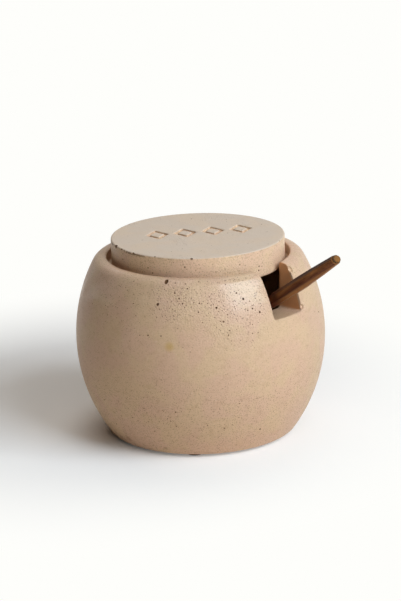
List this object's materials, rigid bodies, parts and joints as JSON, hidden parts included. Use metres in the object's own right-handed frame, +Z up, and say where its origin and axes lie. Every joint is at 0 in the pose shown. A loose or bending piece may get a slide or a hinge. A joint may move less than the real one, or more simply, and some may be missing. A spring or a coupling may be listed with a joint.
{
  "type": "salt pot",
  "caption": "Round-bellied concrete salt pot with a loose lid sunk into its mouth, a square notch cut through the rim, and a carved wooden spoon that leans out of it.",
  "frame": {"origin": "on the table, under the middle of the pot", "axes": "+X out through the middle of the notch, +Z up, so that the spoon lies in the XZ plane"},
  "size_m": [0.1287, 0.105, 0.088],
  "materials": {
    "concrete": "smooth cast, sealed",
    "wood": "carved, oiled",
    "rubber": "matt"
  },
  "bodies": {
    "pot": {"pot": "concrete", "foot_pads": "rubber"},
    "lid": {"lid": "concrete"},
    "spoon": {"spoon": "wood"}
  },
  "joints": [
    {"name": "lid_lift", "type": "slide", "parent": "pot", "child": "lid", "axis": [0, 0, 1], "range_m": [0, 0.04]},
    {"name": "spoon_slide", "type": "slide", "parent": "pot", "child": "spoon", "axis": [0.8263, 0, 0.5632], "range_m": [0, 0.105]}
  ]
}
